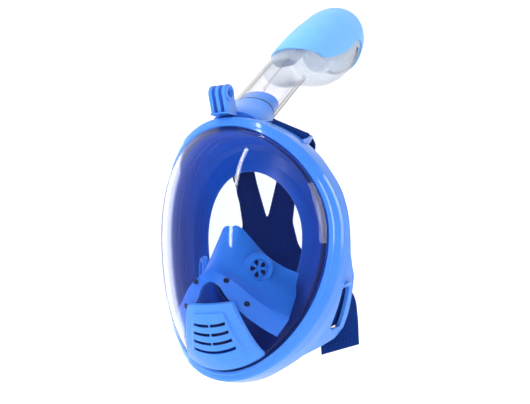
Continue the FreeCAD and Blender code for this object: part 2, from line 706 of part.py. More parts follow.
def upper_strap():
    """From the pad over the upper lug's pin and a short way back down."""
    loop = loop_round(UPPER_PIN, V(-0.45, 0, -0.89), -180, 8)
    lead = [station(26.4, PAD_Y + 1.5, 82.2, (-0.97, 0, 0.25), (0, 1, 0)),
            station(29.5, 71, 87.5, (-0.95, 0, 0.3), (0, 0.8, 0.6)),
            station(36, 57, 93, (-0.88, -0.1, 0.45), (0, 0.5, 0.85))]
    back = [station(44, 53.5, 99.5, (-0.82, -0.3, 0.5), (0, -0.4, -0.9)),
            station(38, 66, 92, (-0.88, -0.1, 0.45), (0, -0.7, -0.7))]
    return ribbon(lead + loop + back)


def build():
    save("front_bezel", front_bezel())
    save("rear_frame", rear_frame())
    save("strap_pins", strap_pins())
    save("viewing_lens", viewing_lens())
    save("face_skirt", face_skirt())
    save("inner_mask", inner_mask())
    save("inner_mask_pegs", inner_mask_pegs())
    save("exhaust_cover", exhaust_cover())
    save("purge_valve_seat", purge_valve_seat())
    save("purge_diaphragm", purge_diaphragm())
    save("camera_mount", camera_mount())
    save("snorkel_socket", snorkel_socket())
    save("exhale_valve_plate", exhale_valve_plate())
    save("snorkel_plug", snorkel_plug())
    save("snorkel_seal_ring", snorkel_seal_ring())
    save("snorkel_tube", snorkel_tube())
    save("float_housing", float_housing())
    save("snorkel_cap", snorkel_cap())
    save("float_valve_seat", float_valve_seat())
    save("float", float_block())
    save("float_seal", float_seal())
    save("harness_back_pad", harness_back_pad())
    for name, side in SIDES:
        save("inhale_valve_seat_" + name, inhale_valve_seat(side))
        save("inhale_diaphragm_" + name, inhale_diaphragm(side))
        save("exhale_flap_" + name, exhale_flap(side))
        for strap, shape in (("lower_strap_", lower_strap()), ("upper_strap_", upper_strap())):
            save(strap + name, shape if side > 0 else mirrored(shape))


build()
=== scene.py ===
import bisect
import math
import bmesh
import bpy
from mathutils import Matrix, Vector
from mathutils.geometry import tessellate_polygon


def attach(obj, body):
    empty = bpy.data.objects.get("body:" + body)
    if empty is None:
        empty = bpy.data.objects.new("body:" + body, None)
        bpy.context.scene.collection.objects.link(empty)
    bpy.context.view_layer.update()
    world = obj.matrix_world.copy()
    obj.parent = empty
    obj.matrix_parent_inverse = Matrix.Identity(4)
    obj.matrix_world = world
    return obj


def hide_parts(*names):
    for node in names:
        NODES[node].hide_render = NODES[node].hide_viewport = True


# A full face snorkel mask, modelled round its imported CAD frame. The shapes below are drawn
# in millimetres with Y = 0 at the front of the rim, as in the CAD source, and to_row()
# moves them into the row frame in metres.

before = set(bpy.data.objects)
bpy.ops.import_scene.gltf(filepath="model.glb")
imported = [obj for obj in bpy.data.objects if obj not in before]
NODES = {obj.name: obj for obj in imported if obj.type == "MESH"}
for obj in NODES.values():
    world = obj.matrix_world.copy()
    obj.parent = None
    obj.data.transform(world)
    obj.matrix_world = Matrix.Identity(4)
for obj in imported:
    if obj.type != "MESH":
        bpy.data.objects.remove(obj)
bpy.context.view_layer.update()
SIDES = (("left", 1), ("right", -1))

SEAL_Y = 62.0           # from the front of the rim back to the row frame's origin
WRAP_R = 115.0          # bend of the mask round the face
# the lens's egg outline: the height of its widest line, then its reach sideways, up and down
EGG_Z, EGG_HALF_WIDTH, EGG_UP, EGG_DOWN = 12.0, 80.7, 90.7, 114.4
DOME_HEIGHT, DOME_POWER, DOME_ROUNDNESS = 31.0, 2.2, 0.62
DOME_EDGE = 0.96        # share of the outline where the dome's curve becomes a straight slope
LENS_THICKNESS = 2.4
SNORKEL_MOUTH = Vector((0.0, 48.0, 121.0))
SNORKEL_LEAN = math.radians(54.5)
STRAP_WIDTH, STRAP_THICKNESS = 34.0, 2.0


# --- shape helpers --------------------------------------------------------------------
def to_row(x, y, z):
    return Vector((x, y - SEAL_Y, z)) / 1000


def wrap(x):
    """Y of the surface that bends round the face."""
    return WRAP_R - math.sqrt(WRAP_R ** 2 - min(abs(x), WRAP_R - 1) ** 2)


def dome_y(x, z):
    """Y of the outside of the lens."""
    half_height = EGG_UP if z > EGG_Z else EGG_DOWN
    r = math.hypot(x / EGG_HALF_WIDTH, (z - EGG_Z) / half_height)
    inner = min(r, DOME_EDGE)
    body = 1 - inner ** DOME_POWER
    height = body ** DOME_ROUNDNESS
    if r > DOME_EDGE:
        slope = DOME_ROUNDNESS * DOME_POWER * inner ** (DOME_POWER - 1) * body ** (DOME_ROUNDNESS - 1)
        height -= slope * (r - DOME_EDGE)
    return wrap(x) - DOME_HEIGHT * height


def egg_point(a, out, back):
    """Point on the egg curve at angle a, out from the lens edge and back from the wrap."""
    half_height = EGG_UP if math.sin(a) > 0 else EGG_DOWN
    x = (EGG_HALF_WIDTH + out) * math.cos(a)
    return Vector((x, wrap(x) + back, EGG_Z + (half_height + out) * math.sin(a)))


def snorkel_point(x, y, z):
    """Point given along the snorkel: z up its tube from the socket's mouth, y to its rear."""
    s, c = math.sin(SNORKEL_LEAN), math.cos(SNORKEL_LEAN)
    return SNORKEL_MOUTH + Vector((x, y * c + z * s, -y * s + z * c))


def join(parts):
    """One (verts, faces) pair from several."""
    verts, faces = [], []
    for v, f in parts:
        start = len(verts)
        verts += list(v)
        faces += [tuple(k + start for k in face) for face in f]
    return verts, faces


def catmull(points, steps):
    """Smooth line through points (vectors of any size), with `steps` spans between each two."""
    last = len(points) - 1
    line = []
    for i in range(last):
        p = [points[min(max(i + k, 0), last)] for k in (-1, 0, 1, 2)]
        for j in range(steps):
            t = j / steps
            square = (2 * p[0] - 5 * p[1] + 4 * p[2] - p[3]) * t * t
            cube = (3 * p[1] - p[0] - 3 * p[2] + p[3]) * t ** 3
            line.append(0.5 * ((2 * p[1]) + (p[2] - p[0]) * t + square + cube))
    line.append(points[-1].copy())
    return line


def rounded(corners, steps=4):
    """Closed 2-D outline from corners (x, y, radius), each rounded with an arc-like curve."""
    line = []
    count = len(corners)
    for i, (x, y, r) in enumerate(corners):
        here = Vector((x, y))
        a = Vector(corners[i - 1][:2]) - here
        b = Vector(corners[(i + 1) % count][:2]) - here
        half = a.angle(b) / 2
        reach = min(r / max(math.tan(half), 0.05), a.length * 0.48, b.length * 0.48)
        p0, p2 = here + a.normalized() * reach, here + b.normalized() * reach
        for k in range(steps + 1):
            t = k / steps
            line.append((1 - t) ** 2 * p0 + 2 * t * (1 - t) * here + t * t * p2)
    return line


def curve_at(points, t):
    """Y of a smooth line through (x, y) points with rising x, at x = t (monotone cubic)."""
    xs = [p[0] for p in points]
    i = min(max(bisect.bisect_right(xs, t) - 1, 0), len(points) - 2)
    (x0, y0), (x1, y1) = points[i], points[i + 1]
    h = x1 - x0
    s = (y1 - y0) / h

    def tangent(k):
        if k <= 0 or k >= len(points) - 1:
            return s
        a = (points[k][1] - points[k - 1][1]) / (points[k][0] - points[k - 1][0])
        b = (points[k + 1][1] - points[k][1]) / (points[k + 1][0] - points[k][0])
        return 0.0 if a * b <= 0 else 2 * a * b / (a + b)
    m0, m1 = tangent(i), tangent(i + 1)
    u = min(max((t - x0) / h, 0.0), 1.0)
    return ((2 * u ** 3 - 3 * u * u + 1) * y0 + (u ** 3 - 2 * u * u + u) * h * m0
            + (3 * u * u - 2 * u ** 3) * y1 + (u ** 3 - u * u) * h * m1)


# --- mesh helpers ---------------------------------------------------------------------
def piece(name, verts, faces, material, body, slot, replaces=(), sharp=35, uvs=None):
    """A smooth-shaded mesh object that rides on a body. verts are in drawing millimetres."""
    mesh = bpy.data.meshes.new(name)
    mesh.from_pydata([to_row(*v) for v in verts], [], faces)
    obj = bpy.data.objects.new(name, mesh)
    bpy.context.scene.collection.objects.link(obj)
    if uvs:
        layer = mesh.uv_layers.new(name="UVMap")
        for loop in mesh.loops:
            layer.data[loop.index].uv = uvs[loop.vertex_index]
    tidy_mesh(obj, sharp)
    obj.data.materials.append(material)
    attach(obj, body)
    if replaces:
        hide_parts(*replaces)
    return obj


def tidy_mesh(obj, sharp):
    bm = bmesh.new()
    bm.from_mesh(obj.data)
    bmesh.ops.recalc_face_normals(bm, faces=bm.faces)
    for face in bm.faces:
        face.smooth = True
    bm.to_mesh(obj.data)
    bm.free()
    if sharp:
        obj.data.set_sharp_from_angle(angle=math.radians(sharp))


def apply_modifiers(obj):
    graph = bpy.context.evaluated_depsgraph_get()
    graph.update()
    mesh = bpy.data.meshes.new_from_object(obj.evaluated_get(graph))
    obj.modifiers.clear()
    obj.data = mesh


def cut(obj, cutters, sharp):
    """Cut meshes out of a piece, then drop them."""
    for cutter in cutters:
        m = obj.modifiers.new("cut", "BOOLEAN")
        m.operation = "DIFFERENCE"
        m.solver = "EXACT"
        m.object = cutter
        bpy.context.view_layer.update()
        apply_modifiers(obj)
        bpy.data.objects.remove(cutter)
    obj.data.set_sharp_from_angle(angle=math.radians(sharp))


def loft(loops, caps=(False, False), close_loops=False):
    """Quads between closed loops of points. close_loops joins the last loop to the first."""
    n = len(loops[0])
    verts = [tuple(p) for line in loops for p in line]
    faces = []
    rows = len(loops)
    for j in range(rows if close_loops else rows - 1):
        k = (j + 1) % rows
        for i in range(n):
            i2 = (i + 1) % n
            faces.append((j * n + i, j * n + i2, k * n + i2, k * n + i))
    if caps[0]:
        faces.append(tuple(range(n)))
    if caps[1]:
        faces.append(tuple((rows - 1) * n + i for i in reversed(range(n))))
    return verts, faces


def cutter_from(verts, faces):
    mesh = bpy.data.meshes.new("cutter")
    mesh.from_pydata([to_row(*v) for v in verts], [], faces)
    obj = bpy.data.objects.new("cutter", mesh)
    bpy.context.scene.collection.objects.link(obj)
    tidy_mesh(obj, 0)
    return obj


# --- material helpers -----------------------------------------------------------------
def srgb(r, g, b):
    """Linear colour from 0-255 display values."""
    def line(c):
        c /= 255
        return c / 12.92 if c <= 0.04045 else ((c + 0.055) / 1.055) ** 2.4
    return (line(r), line(g), line(b), 1.0)


def grey(level):
    return (level, level, level, 1.0)


class Nodes:
    """Short names for building one material's node tree."""

    def __init__(self, name):
        self.material = bpy.data.materials.new(name)
        self.material.use_nodes = True
        self.tree = self.material.node_tree
        self.tree.nodes.clear()
        self.out = self.add("ShaderNodeOutputMaterial")
        self.coords = self.add("ShaderNodeTexCoord").outputs["Object"]

    def add(self, kind, links=None, **values):
        node = self.tree.nodes.new(kind)
        for key, value in values.items():
            if hasattr(node, key) and key not in node.inputs:
                setattr(node, key, value)
            else:
                node.inputs[key].default_value = value
        for key, socket in (links or {}).items():
            self.tree.links.new(socket, node.inputs[key])
        return node

    def set(self, node, **named):
        for key, value in named.items():
            node.inputs[key.replace("_", " ")].default_value = value
        return node

    def noise(self, scale, detail=3.0, roughness=0.55, coords=None):
        node = self.add("ShaderNodeTexNoise", {"Vector": coords or self.coords})
        self.set(node, Scale=scale, Detail=detail, Roughness=roughness)
        return node.outputs["Fac"]

    def ramp(self, fac, stops):
        """Blend between two stops, each (position, colour)."""
        node = self.add("ShaderNodeValToRGB", {"Fac": fac})
        for element, stop in zip(node.color_ramp.elements, stops):
            element.position, element.color = stop
        return node.outputs["Color"]

    def mix(self, fac, a, b):
        """Colour mix of two sockets or colours."""
        node = self.add("ShaderNodeMix", data_type="RGBA")
        for index, value in ((0, fac), (6, a), (7, b)):
            if hasattr(value, "links"):
                self.tree.links.new(value, node.inputs[index])
            else:
                node.inputs[index].default_value = value
        return node.outputs[2]

    def math(self, operation, a, b=0.0):
        node = self.add("ShaderNodeMath", operation=operation)
        for index, value in enumerate((a, b)):
            if hasattr(value, "links"):
                self.tree.links.new(value, node.inputs[index])
            else:
                node.inputs[index].default_value = value
        return node.outputs[0]

    def bump(self, height, strength, distance, normal=None):
        links = {"Height": height}
        if normal:
            links["Normal"] = normal
        node = self.add("ShaderNodeBump", links)
        self.set(node, Strength=strength, Distance=distance)
        return node.outputs["Normal"]

    def finish(self, shader):
        self.tree.links.new(shader.outputs[0], self.out.inputs["Surface"])
        return self.material


def moulded(name, color, deep, roughness=0.16, coat=0.6, edge=0.0005, subsurface=0.12):
    """Glossy injection-moulded plastic: faint flow marks, fine orange peel, softened edges."""
    n = Nodes(name)
    flow = n.noise(16, 4, 0.5)
    base = n.ramp(flow, [(0.32, deep), (0.68, color)])
    rough = n.ramp(n.noise(55, 5, 0.6), [(0.3, grey(roughness * 0.8)), (0.7, grey(roughness * 1.35))])
    soft = n.add("ShaderNodeBevel", samples=6)
    soft.inputs["Radius"].default_value = edge
    peel = n.bump(n.noise(420, 2), 0.05, 0.0004, soft.outputs["Normal"])
    shader = n.add("ShaderNodeBsdfPrincipled", {"Base Color": base, "Roughness": rough, "Normal": peel})
    n.set(shader, Coat_Weight=coat, Coat_Roughness=0.06, IOR=1.5, Subsurface_Weight=subsurface,
          Subsurface_Radius=(0.4, 0.7, 1.0), Subsurface_Scale=0.002)
    return n.finish(shader)


def silicone(name, color, deep, roughness=0.42, edge=0.0006, subsurface=0.18):
    """Soft silicone: satin, slightly translucent, with a fine moulded grain."""
    n = Nodes(name)
    base = n.ramp(n.noise(22, 4, 0.6), [(0.3, deep), (0.7, color)])
    rough = n.ramp(n.noise(90, 4), [(0.3, grey(roughness * 0.85)), (0.7, grey(roughness * 1.2))])
    soft = n.add("ShaderNodeBevel", samples=6)
    soft.inputs["Radius"].default_value = edge
    grain = n.bump(n.noise(900, 3), 0.08, 0.0003, soft.outputs["Normal"])
    shader = n.add("ShaderNodeBsdfPrincipled", {"Base Color": base, "Roughness": rough, "Normal": grain})
    n.set(shader, Subsurface_Weight=subsurface, Subsurface_Radius=(0.3, 0.6, 1.0),
          Subsurface_Scale=0.003, Sheen_Weight=0.15, Sheen_Roughness=0.4, Coat_Weight=0.15,
          Coat_Roughness=0.25)
    return n.finish(shader)


def clear_plastic(name, tint, haze, edge_tint, gloss=0.012, mirror_base=0.032, veil_share=0.12,
                  ripple=0.0, edge_power=2.6):
    """Polished clear plastic: see-through, with mirror-like gloss and a faint edge tint."""
    n = Nodes(name)
    smudge = n.ramp(n.noise(30, 5, 0.65), [(0.35, grey(gloss)), (0.75, grey(gloss * 3.5))])
    facing = n.add("ShaderNodeLayerWeight")
    n.set(facing, Blend=0.5)
    grazing = facing.outputs["Facing"]
    mirror = n.math("ADD", n.math("MULTIPLY", n.math("POWER", grazing, 5.0), 0.85), mirror_base)
    rim = n.math("POWER", grazing, edge_power)
    through = n.add("ShaderNodeBsdfTransparent", {"Color": n.mix(rim, tint, edge_tint)})
    wavy = n.bump(n.noise(70, 3, 0.6), ripple, 0.004)
    gloss_node = n.add("ShaderNodeBsdfAnisotropic", {"Roughness": smudge, "Normal": wavy})
    body = n.add("ShaderNodeBsdfPrincipled", {"Normal": wavy})
    n.set(body, Base_Color=edge_tint, Roughness=0.25)
    milky = n.math("ADD", n.math("MULTIPLY", rim, veil_share), haze)
    veil = n.add("ShaderNodeMixShader", {"Fac": milky})
    n.tree.links.new(through.outputs[0], veil.inputs[1])
    n.tree.links.new(body.outputs[0], veil.inputs[2])
    shine = n.add("ShaderNodeMixShader", {"Fac": mirror})
    n.tree.links.new(veil.outputs[0], shine.inputs[1])
    n.tree.links.new(gloss_node.outputs[0], shine.inputs[2])
    return n.finish(shine)


def webbing(name, color, light):
    """Woven nylon webbing: ribs across the strap and a fine twill, from UVs in millimetres."""
    n = Nodes(name)
    uv = n.add("ShaderNodeTexCoord").outputs["UV"]
    split = n.add("ShaderNodeSeparateXYZ", {"Vector": uv})
    across, along = split.outputs["X"], split.outputs["Y"]
    warp = n.math("SINE", n.math("MULTIPLY", across, 5.2))
    weft = n.math("SINE", n.math("MULTIPLY", n.math("ADD", along, n.math("MULTIPLY", warp, 0.22)), 4.6))
    weave = n.math("MULTIPLY", n.math("ADD", warp, 1.0), n.math("ADD", weft, 1.2))
    fade = n.noise(60, 4)
    tone = n.math("ADD", n.math("MULTIPLY", weave, 0.17), n.math("MULTIPLY", fade, 0.35))
    base = n.ramp(tone, [(0.1, color), (0.85, light)])
    normal = n.bump(weave, 0.55, 0.0003)
    shader = n.add("ShaderNodeBsdfPrincipled", {"Base Color": base, "Normal": normal})
    n.set(shader, Roughness=0.72, Specular_IOR_Level=0.15, Sheen_Weight=0.05, Sheen_Roughness=0.45,
          Sheen_Tint=light)
    return n.finish(shader)


def steel(name):
    n = Nodes(name)
    stretch = n.add("ShaderNodeMapping", {"Vector": n.coords})
    stretch.inputs["Scale"].default_value = (30, 900, 900)
    lines = n.noise(6, 3, 0.6, stretch.outputs[0])
    rough = n.ramp(lines, [(0.3, grey(0.18)), (0.7, grey(0.34))])
    shader = n.add("ShaderNodeBsdfPrincipled", {"Roughness": rough, "Normal": n.bump(lines, 0.1, 0.0002)})
    n.set(shader, Base_Color=srgb(196, 198, 202), Metallic=1.0)
    return n.finish(shader)


BLUE = moulded("frame_blue", srgb(70, 136, 228), srgb(63, 128, 223), coat=0.4)
COVER_BLUE = moulded("cover_blue", srgb(71, 135, 227), srgb(64, 127, 221), coat=0.4, edge=0.0009)
HOOD_BLUE = moulded("hood_blue", srgb(112, 184, 250), srgb(102, 175, 247),
                    roughness=0.4, coat=0.1, edge=0.0004)
# painted shade: flat grey for a sheet inside the hood that stands for the shade under its rim
HOOD_SHADE_GREY = moulded("hood_shade_painted", srgb(176, 186, 200), srgb(166, 178, 194),
                     roughness=0.4, coat=0.1, edge=0.0003)
SEAL_BLUE = silicone("seal_silicone", srgb(8, 34, 104), srgb(5, 26, 86), roughness=0.4)
POCKET_BLUE = silicone("pocket_silicone", srgb(46, 128, 222), srgb(34, 112, 208))
SKIRT_BLUE = silicone("skirt_silicone", srgb(14, 86, 190), srgb(9, 74, 176), roughness=0.34)
VALVE_BLUE = moulded("valve_blue", srgb(46, 126, 220), srgb(38, 114, 210),
                     roughness=0.28, coat=0.2, edge=0.0003)
VALVE_SILICONE = silicone("valve_silicone", srgb(30, 52, 112), srgb(22, 42, 98), roughness=0.5)
DARK = moulded("dark_plastic", srgb(22, 34, 74), srgb(16, 26, 60),
               roughness=0.3, coat=0.2, edge=0.0003)
RUBBER = silicone("black_rubber", srgb(16, 17, 20), srgb(10, 11, 13),
                  roughness=0.55, edge=0.0003, subsurface=0.0)
FLOAT_GREY = moulded("float_grey", srgb(196, 206, 218), srgb(186, 198, 212),
                     roughness=0.35, coat=0.1)
LENS_CLEAR = clear_plastic("lens_clear", srgb(248, 251, 255), 0.002, srgb(120, 160, 250))
TUBE_CLEAR = clear_plastic("tube_clear", srgb(254, 254, 255), 0.004, srgb(70, 74, 84), gloss=0.03,
                           mirror_base=0.01, edge_power=9.0)
TUBE_LINE = moulded("tube_line", srgb(118, 116, 124), srgb(100, 98, 108),
                    roughness=0.3, coat=0.1, edge=0.0001)
HOUSING_CLEAR = clear_plastic("housing_clear", srgb(253, 254, 255), 0.13, srgb(230, 236, 248),
                              gloss=0.04,
                              mirror_base=0.02, veil_share=0.4, ripple=1.0, edge_power=5.0)
NAVY_WEB = webbing("navy_webbing", srgb(0, 30, 92), srgb(2, 62, 154))
NAVY_PAD = webbing("navy_neoprene", srgb(0, 28, 92), srgb(1, 42, 118))
THREAD = moulded("navy_thread", srgb(16, 42, 108), srgb(10, 30, 86),
                 roughness=0.5, coat=0.0, edge=0.0001)
STEEL = steel("pin_steel")

CAD_MATERIALS = {
    "front_bezel": BLUE, "rear_frame": BLUE, "strap_pins": STEEL, "viewing_lens": LENS_CLEAR,
    "face_skirt": SKIRT_BLUE, "inner_mask": POCKET_BLUE, "inner_mask_pegs": DARK,
    "exhaust_cover": COVER_BLUE, "purge_valve_seat": DARK, "purge_diaphragm": VALVE_SILICONE,
    "camera_mount": BLUE, "snorkel_socket": BLUE, "exhale_valve_plate": DARK, "snorkel_plug": BLUE,
    "snorkel_seal_ring": RUBBER, "snorkel_tube": TUBE_CLEAR, "float_housing": HOUSING_CLEAR,
    "snorkel_cap": HOOD_BLUE, "float_valve_seat": FLOAT_GREY, "float": FLOAT_GREY,
    "float_seal": RUBBER, "harness_back_pad": NAVY_WEB}
for side, _ in SIDES:
    CAD_MATERIALS.update({
        "inhale_valve_seat_" + side: VALVE_BLUE, "inhale_diaphragm_" + side: VALVE_SILICONE,
        "exhale_flap_" + side: VALVE_SILICONE, "lower_strap_" + side: NAVY_WEB,
        "upper_strap_" + side: NAVY_WEB})
for name, material in CAD_MATERIALS.items():
    slots = NODES[name].material_slots
    for slot in slots:
        slot.material = material


# --- camera, light and floor ----------------------------------------------------------
IMAGE_WIDTH, FOCAL_PX = 530.0, 1309.0
SENSOR_WIDTH = 36.0
CAMERA_AT = Vector((0.54866, -1.0123, -0.07673))
CAMERA_BACK = Vector((0.49878, -0.86391, -0.069756))
CAMERA_RIGHT, CAMERA_UP = Vector((0.8660, 0.5, 0.0)), Vector((0.03488, -0.06041, 0.99756))
CAMERA_ROLL = math.radians(-1.0)
AIM_PX = (40.0, 46.0)       # the image's middle, right of and above the origin's image


def add_camera():
    s, c = math.sin(CAMERA_ROLL), math.cos(CAMERA_ROLL)
    right = CAMERA_RIGHT * c + CAMERA_UP * s
    up = CAMERA_UP * c - CAMERA_RIGHT * s
    aside, above = (px / FOCAL_PX for px in AIM_PX)
    forward = (-CAMERA_BACK + right * aside + up * above).normalized()
    right = forward.cross(up).normalized()
    up = right.cross(forward)
    data = bpy.data.cameras.new("camera")
    data.sensor_width = SENSOR_WIDTH
    data.lens = FOCAL_PX * SENSOR_WIDTH / IMAGE_WIDTH
    data.clip_start, data.clip_end = 0.05, 50
    camera = bpy.data.objects.new("camera", data)
    turn = Matrix((right, up, -forward)).transposed().to_4x4()
    camera.matrix_world = Matrix.Translation(CAMERA_AT) @ turn
    bpy.context.scene.collection.objects.link(camera)
    bpy.context.scene.camera = camera


def area_light(name, at, width, height, lean, watts, reflected):
    data = bpy.data.lights.new(name, "AREA")
    data.shape = "RECTANGLE"
    data.size, data.size_y = width, height
    data.energy = watts
    light = bpy.data.objects.new(name, data)
    aim = (LIGHT_AIM - Vector(at)).to_track_quat("-Z", "Y").to_matrix().to_4x4()
    light.matrix_world = Matrix.Translation(at) @ aim @ Matrix.Rotation(-math.radians(lean), 4, "Z")
    light.visible_glossy = reflected
    bpy.context.scene.collection.objects.link(light)


# softboxes: name, place, width, height, lean to the right in degrees, watts, seen in reflections
LIGHTS = (("key", (-1.1, -1.2, 1.1), 0.7, 1.0, 0, 20, False),
          ("strip", (0.33, -1.7, 0.99), 0.12, 2.33, 16.2, 15, True),
          ("left_strip", (-1.55, 0.6, 0.1), 0.9, 1.2, 0, 12, True),
          ("right_strip", (1.62, 0.38, 0.42), 0.2, 0.8, 0, 3, True),
          ("fill", (1.0, -1.4, 0.5), 0.8, 0.8, 0, 4, False),
          ("top", (0.1, -0.3, 1.7), 1.3, 1.3, 0, 13, False))
LIGHT_AIM = Vector((0, 0, 0.03))
STUDIO_BACK = (-0.5, 0.866, 0.0)    # toward the bright backdrop, behind the object
ROOM_LEVEL = 0.08                   # how bright the studio is behind the camera
ROOM_FADE = (0.25, 0.82)            # from there to the backdrop, where the light rises from to
FLOOR_Z, FLOOR_FRONT, FLOOR_BEND, FLOOR_HALF_WIDTH = -0.16, -3.0, 2.0, 4.0
SWEEP_R, SWEEP_STEPS, WALL_HEIGHT = 1.2, 10, 4.0
FLOOR_GLOW = 0.6


def add_world():
    """White to the camera; to other rays bright behind the object and dim behind the camera."""
    world = bpy.data.worlds.new("studio")
    bpy.context.scene.world = world
    world.use_nodes = True
    tree = world.node_tree
    direction = tree.nodes.new("ShaderNodeTexCoord").outputs["Generated"]
    toward = tree.nodes.new("ShaderNodeVectorMath")
    toward.operation = "DOT_PRODUCT"
    toward.inputs[1].default_value = STUDIO_BACK
    tree.links.new(direction, toward.inputs[0])
    ramp = tree.nodes.new("ShaderNodeValToRGB")
    for element, position, level in zip(ramp.color_ramp.elements, ROOM_FADE, (ROOM_LEVEL, 1.0)):
        element.position, element.color = position, grey(level)
    shift = tree.nodes.new("ShaderNodeMath")
    shift.operation = "MULTIPLY_ADD"
    shift.inputs[1].default_value = shift.inputs[2].default_value = 0.5
    tree.links.new(toward.outputs["Value"], shift.inputs[0])
    tree.links.new(shift.outputs[0], ramp.inputs["Fac"])
    seen = tree.nodes.new("ShaderNodeMix")
    seen.data_type = "RGBA"
    seen.inputs[7].default_value = grey(1.0)
    path = tree.nodes.new("ShaderNodeLightPath")
    tree.links.new(path.outputs["Is Camera Ray"], seen.inputs[0])
    tree.links.new(ramp.outputs["Color"], seen.inputs[6])
    tree.links.new(seen.outputs[2], tree.nodes["Background"].inputs["Color"])


def add_floor():
    """A faintly glowing white floor that sweeps up into a wall, kept out of reflections."""
    steps = [(FLOOR_FRONT, 0.0), (FLOOR_BEND, 0.0)]
    for i in range(1, SWEEP_STEPS + 1):
        a = math.pi / 2 * i / SWEEP_STEPS
        steps.append((FLOOR_BEND + SWEEP_R * math.sin(a), SWEEP_R - SWEEP_R * math.cos(a)))
    steps.append((FLOOR_BEND + SWEEP_R, WALL_HEIGHT))
    verts, faces = [], []
    for y, z in steps:
        verts += [(x, y, z + FLOOR_Z) for x in (-FLOOR_HALF_WIDTH, FLOOR_HALF_WIDTH)]
    for i in range(len(steps) - 1):
        faces.append((2 * i, 2 * i + 1, 2 * i + 3, 2 * i + 2))
    mesh = bpy.data.meshes.new("floor")
    mesh.from_pydata(verts, [], faces)
    floor = bpy.data.objects.new("floor", mesh)
    bpy.context.scene.collection.objects.link(floor)
    floor.visible_glossy = False
    n = Nodes("floor_white")
    tone = n.ramp(n.noise(3, 2), [(0.3, srgb(246, 247, 249)), (0.7, srgb(252, 252, 253))])
    shader = n.add("ShaderNodeBsdfPrincipled", {"Base Color": tone})
    n.set(shader, Roughness=0.9, Emission_Color=grey(1.0), Emission_Strength=FLOOR_GLOW)
    mesh.materials.append(n.finish(shader))


def add_studio():
    add_world()
    for softbox in LIGHTS:
        area_light(*softbox)
    add_floor()
    scene = bpy.context.scene
    scene.view_settings.view_transform = "Standard"
    scene.view_settings.look = "None"
    scene.cycles.transparent_max_bounces = 40
    scene.cycles.max_bounces = 12


# --- strap harness ---------------------------------------------------------------------
LOWER_PIN = (Vector((78.7, 57.0, -31.0)), Vector((61.8, 61.0, -70.0)))
UPPER_PIN = (Vector((27.5, 32.0, 108.5)), Vector((60.0, 45.0, 92.0)))
PIN_R, PIN_GAP = 2.3, 0.3
LOOP_TURN, LOOP_STEPS = -180, 8     # a strap's turn round its pin, in degrees
PAD_Y, PAD_THICKNESS = 75.0, 3.0
PAD_MIDDLE = PAD_Y + PAD_THICKNESS / 2
# half outline of the back pad as (x, z, corner radius), from the notch at the top
PAD_HALF = ((0, 28, 2.5), (10, 62, 14), (15, 84, 2.5), (37, 78, 2.5), (28, 46, 12), (25, 26, 12),
            (30, 6, 14), (50, -22, 2.5), (36, -42, 2.5), (10, -14, 8), (0, -6, 8))
# the pad's bound edge as (inset from its outline, height above its middle plane)
PAD_EDGE = ((0.0, 0.4), (0.15, 1.0), (0.6, 1.45), (2.6, 1.5), (3.2, 1.15), (3.7, 0.75), (4.2, 1.15),
            (5.2, 1.45))
PAD_SPAN = 2.5                      # longest step along the pad's outline
STITCH_PITCH, STITCH_LENGTH, STITCH_INSET = 3.2, 2.2, 3.5
THREAD_HALF_WIDTH, THREAD_HALF_HEIGHT, THREAD_LIFT, THREAD_SIDES = 0.34, 0.3, 0.12, 6


def station(x, y, z, across, deep):
    """Place on a strap: its middle, and unit vectors across it and through its thickness."""
    w, d = Vector(across).normalized(), Vector(deep).normalized()
    d = (d - w * d.dot(w)).normalized()
    return Vector((x, y, z)), w, d


def loop_round(ends, first):
    """Strap stations half way round a pin, starting from the direction `first`."""
    start, end = ends
    along = (end - start).normalized()
    out = (Vector(first) - along * Vector(first).dot(along)).normalized()
    radius = PIN_R + PIN_GAP + STRAP_THICKNESS / 2
    line = []
    for i in range(LOOP_STEPS + 1):
        spoke = Matrix.Rotation(math.radians(LOOP_TURN * i / LOOP_STEPS), 3, along) @ out
        line.append(((start + end) * 0.5 + spoke * radius, along, spoke))
    return line


def smooth_stations(stations, steps):
    """Evenly turning strap stations, with their across and deep vectors kept on one side."""
    turned = [stations[0]]
    for middle, w, d in stations[1:]:
        if w.dot(turned[-1][1]) < 0:
            w, d = -w, -d
        turned.append((middle, w, d))
    lines = [catmull([s[k] for s in turned], steps) for k in range(3)]
    result = []
    for middle, w, d in zip(*lines):
        w = w.normalized()
        result.append((middle, w, (d - w * d.dot(w)).normalized()))
    return result


def strap_section():
    """Outline of the webbing's cross-section as (across, deep): woven edges a little thicker."""
    half, t = STRAP_WIDTH / 2, STRAP_THICKNESS / 2
    top = [(-half + 0.25, t * 0.72), (-half + 0.9, t), (-half + 2.4, t * 0.96), (-half + 3.0, t * 0.8)]
    top += [(-half + 3.0 + (2 * half - 6.0) * i / 6, t * 0.8) for i in range(1, 6)]
    top += [(-x, y) for x, y in reversed(top[:4])]
    bottom = [(x, -y) for x, y in reversed(top)]
    return top + [(half, 0.0)] + bottom + [(-half, 0.0)]


def strap_mesh(name, stations, side, node):
    """One length of webbing with rounded woven edges; UVs are millimetres on the strap."""
    section = strap_section()
    loops, uvs, run = [], [], 0.0
    for k, (middle, w, d) in enumerate(stations):
        if k:
            run += (middle - stations[k - 1][0]).length
        wave = 0.12 * math.sin(run * 0.55)
        row = [middle + w * x + d * (y + wave) for x, y in section]
        loops.append([Vector((side * p.x, p.y, p.z)) for p in row])
        uvs += [(x, run + 0.3 * y) for x, y in section]
    verts, faces = loft(loops, caps=(True, True))
    piece(name, verts, faces, NAVY_WEB, "mask", "webbing", replaces=(node,), sharp=0, uvs=uvs)


